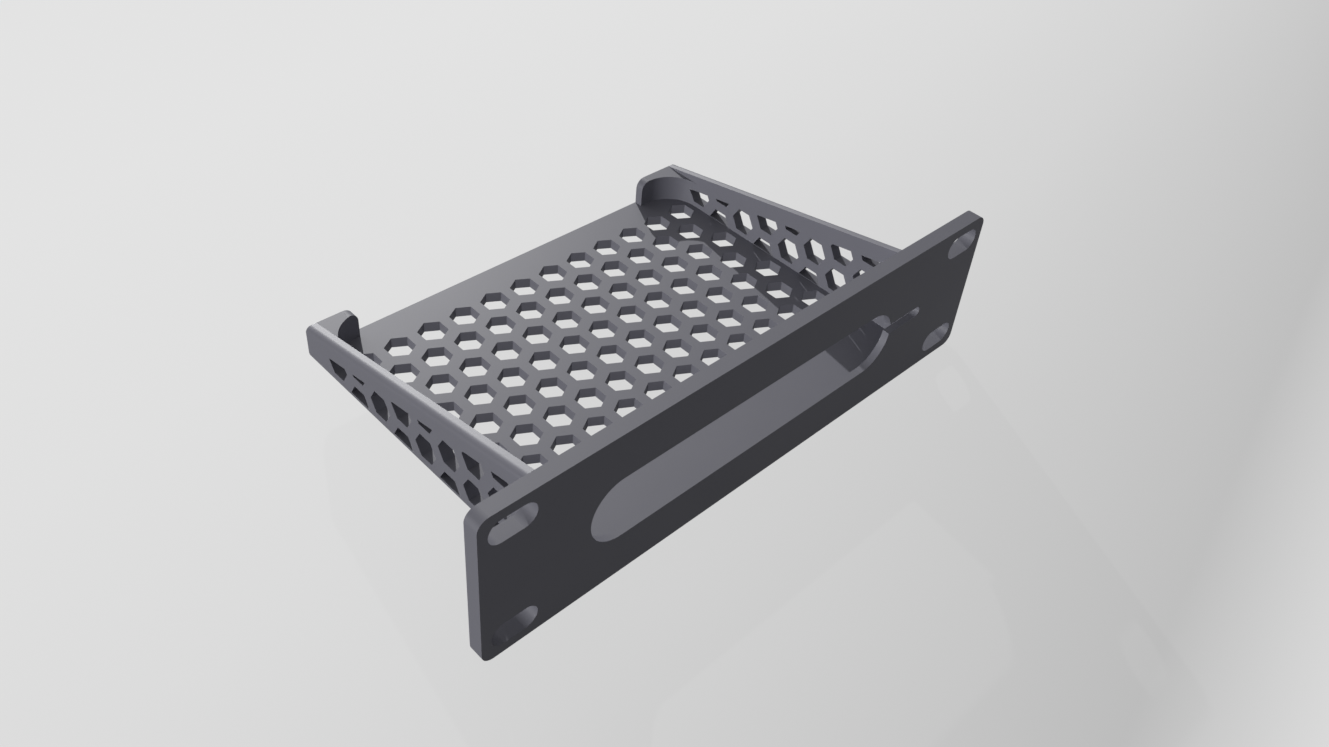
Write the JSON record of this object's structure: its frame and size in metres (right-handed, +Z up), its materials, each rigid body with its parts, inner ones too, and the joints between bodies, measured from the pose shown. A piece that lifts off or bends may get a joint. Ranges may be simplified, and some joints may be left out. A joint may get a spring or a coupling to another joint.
{
  "type": "rack mount bracket",
  "caption": "One-piece mini-rack bracket: a slotted front panel with a long window, and a honeycomb tray with low rear stops that holds a small network device behind it.",
  "frame": {"origin": "centre of the four screw slots, on the panel's back face, which bears on the rack's uprights", "axes": "+X to the right seen from the front, +Y into the rack behind the panel, +Z up"},
  "size_m": [0.1636, 0.0953, 0.0436],
  "materials": {
    "printed_plastic": "matt dark grey printed plastic"
  },
  "bodies": {
    "root": {"tray_bracket": "printed_plastic"}
  },
  "joints": []
}
